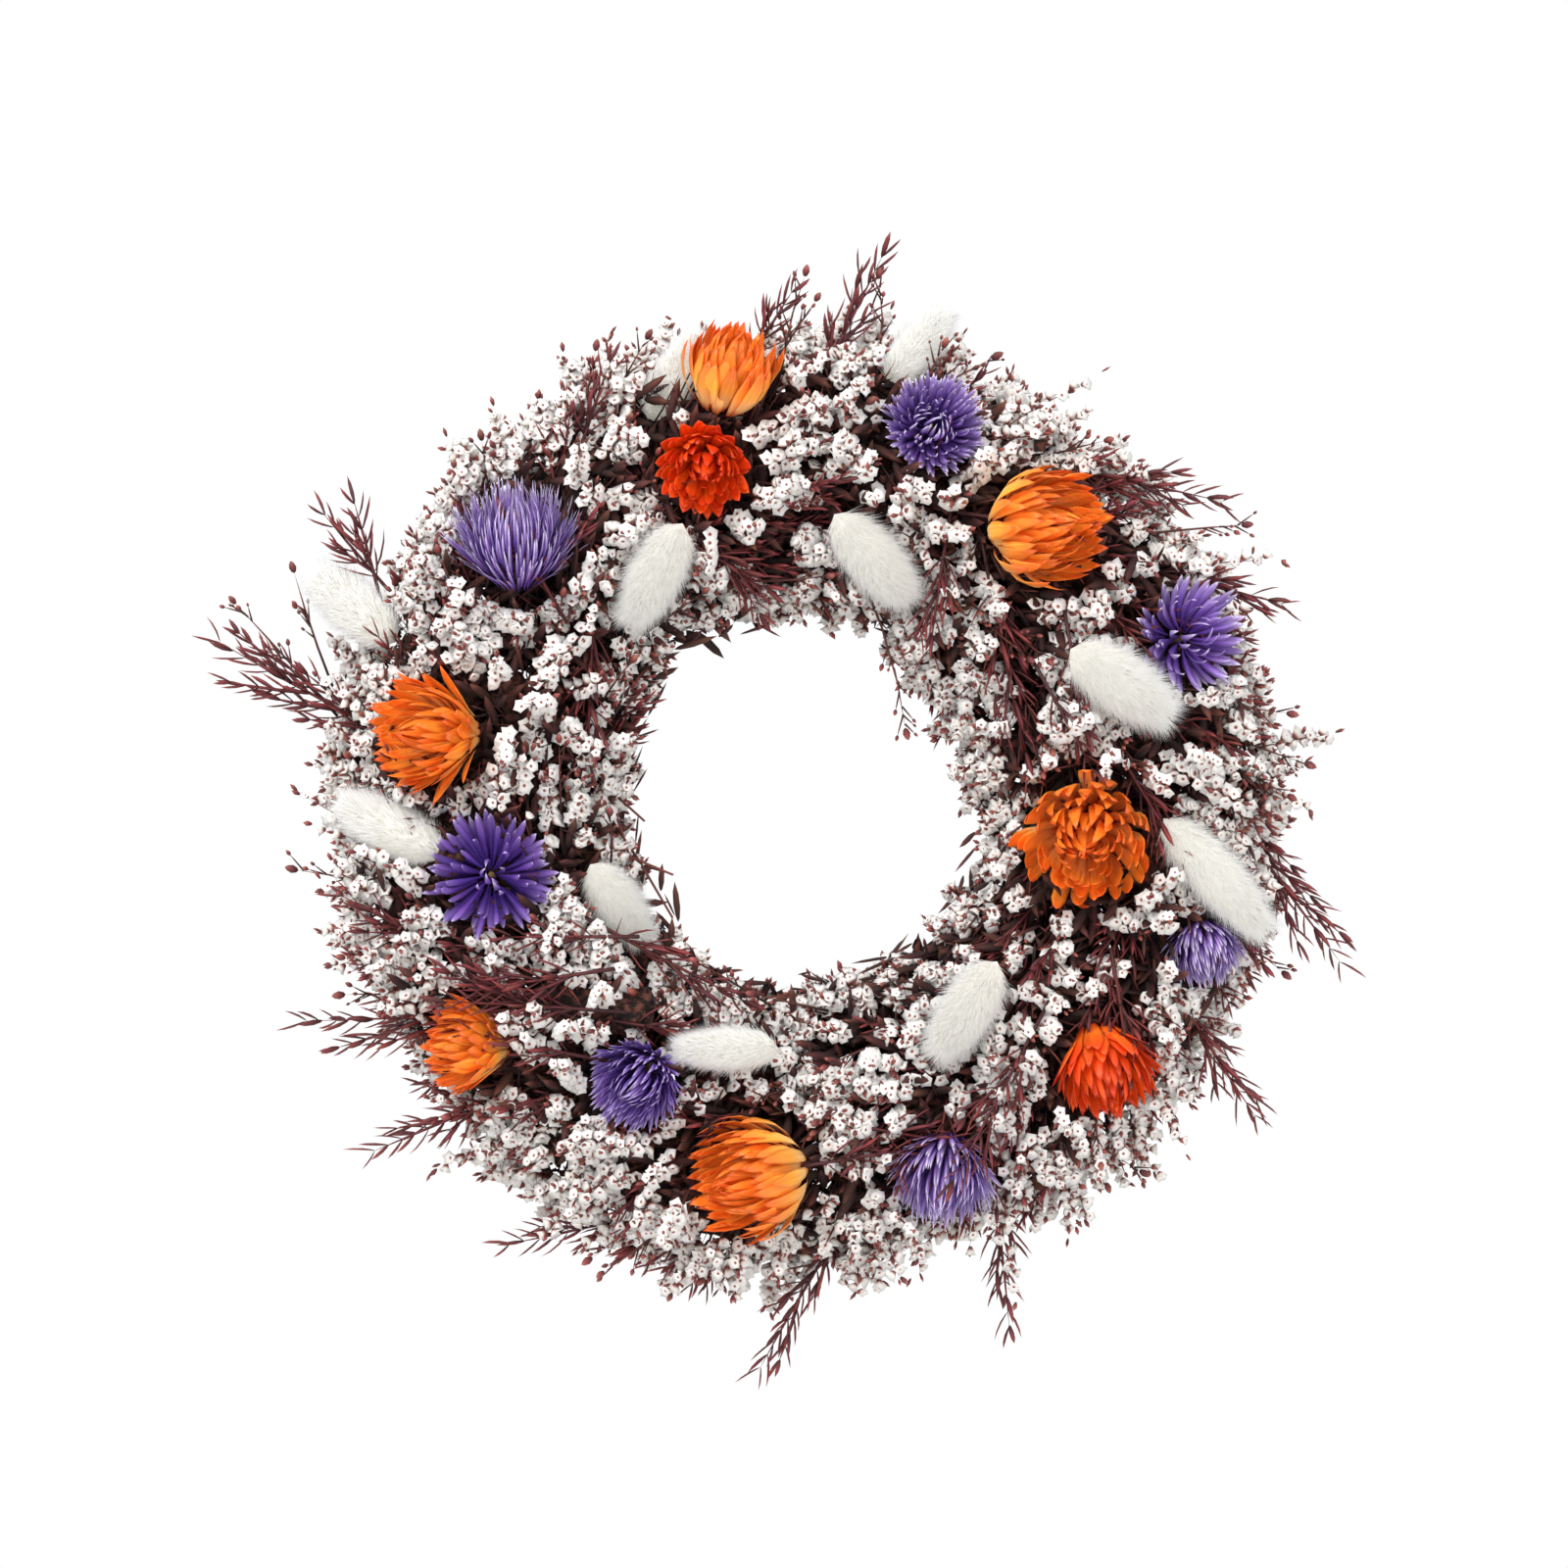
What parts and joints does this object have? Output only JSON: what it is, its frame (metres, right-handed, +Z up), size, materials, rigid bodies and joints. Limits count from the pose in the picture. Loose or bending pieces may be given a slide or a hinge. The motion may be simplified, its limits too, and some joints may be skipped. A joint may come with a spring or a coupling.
{
  "type": "dried flower door wreath",
  "caption": "Dried-flower door wreath: statice, strawflowers, bunny tails and burgundy foliage wired to a twisted vine hoop, hung from a pivoting wire loop.",
  "frame": {"origin": "the inner top of the wire hanging loop, where the door's hook bears", "axes": "+Z up as it hangs, -Y out of the door towards the viewer (the flowers' side), +X to the viewer's right"},
  "size_m": [0.3516, 0.0843, 0.3475],
  "materials": {
    "galvanised_wire": "satin",
    "iron_wire": "satin",
    "vine_bark": "matte",
    "orange_bracts": "satin",
    "purple_bracts": "satin",
    "tail_down": "matte",
    "burgundy_leaf": "matte",
    "statice_paper": "matte"
  },
  "bodies": {
    "loop": {"hanging_loop": "galvanised_wire"},
    "wreath": {"hanger_bar": "galvanised_wire", "binding_wire": "iron_wire", "vine_strand_1": "vine_bark", "vine_strand_2": "vine_bark", "vine_strand_3": "vine_bark", "vine_strand_4": "vine_bark", "orange_strawflower_1": "orange_bracts", "orange_strawflower_2": "orange_bracts", "orange_strawflower_3": "orange_bracts", "orange_strawflower_4": "orange_bracts", "orange_strawflower_5": "orange_bracts", "orange_strawflower_6": "orange_bracts", "orange_strawflower_7": "orange_bracts", "orange_strawflower_8": "orange_bracts", "purple_strawflower_1": "purple_bracts", "purple_strawflower_2": "purple_bracts", "purple_strawflower_3": "purple_bracts", "purple_strawflower_4": "purple_bracts", "purple_strawflower_5": "purple_bracts", "purple_strawflower_6": "purple_bracts", "purple_strawflower_7": "purple_bracts", "bunny_tail_01": "tail_down", "bunny_tail_02": "tail_down", "bunny_tail_03": "tail_down", "bunny_tail_04": "tail_down", "bunny_tail_05": "tail_down", "bunny_tail_06": "tail_down", "bunny_tail_07": "tail_down", "bunny_tail_08": "tail_down", "bunny_tail_09": "tail_down", "bunny_tail_10": "tail_down", "bunny_tail_11": "tail_down", "burgundy_sprig_01": "burgundy_leaf", "burgundy_sprig_02": "burgundy_leaf", "burgundy_sprig_03": "burgundy_leaf", "burgundy_sprig_04": "burgundy_leaf", "burgundy_sprig_05": "burgundy_leaf", "burgundy_sprig_06": "burgundy_leaf", "burgundy_sprig_07": "burgundy_leaf", "burgundy_sprig_08": "burgundy_leaf", "burgundy_sprig_09": "burgundy_leaf", "burgundy_sprig_10": "burgundy_leaf", "burgundy_sprig_11": "burgundy_leaf", "burgundy_sprig_12": "burgundy_leaf", "burgundy_sprig_13": "burgundy_leaf", "burgundy_sprig_14": "burgundy_leaf", "burgundy_sprig_15": "burgundy_leaf", "statice_bunch_01": "statice_paper", "statice_bunch_02": "statice_paper", "statice_bunch_03": "statice_paper", "statice_bunch_04": "statice_paper", "statice_bunch_05": "statice_paper", "statice_bunch_06": "statice_paper", "statice_bunch_07": "statice_paper", "statice_bunch_08": "statice_paper", "statice_bunch_09": "statice_paper", "statice_bunch_10": "statice_paper", "statice_bunch_11": "statice_paper", "statice_bunch_12": "statice_paper"}
  },
  "joints": [
    {"name": "wreath_swing", "type": "hinge", "parent": "loop", "child": "wreath", "pos_m": [0, -0.0023, -0.032], "axis": [-1, 0, 0], "range_deg": [0, 18]}
  ]
}
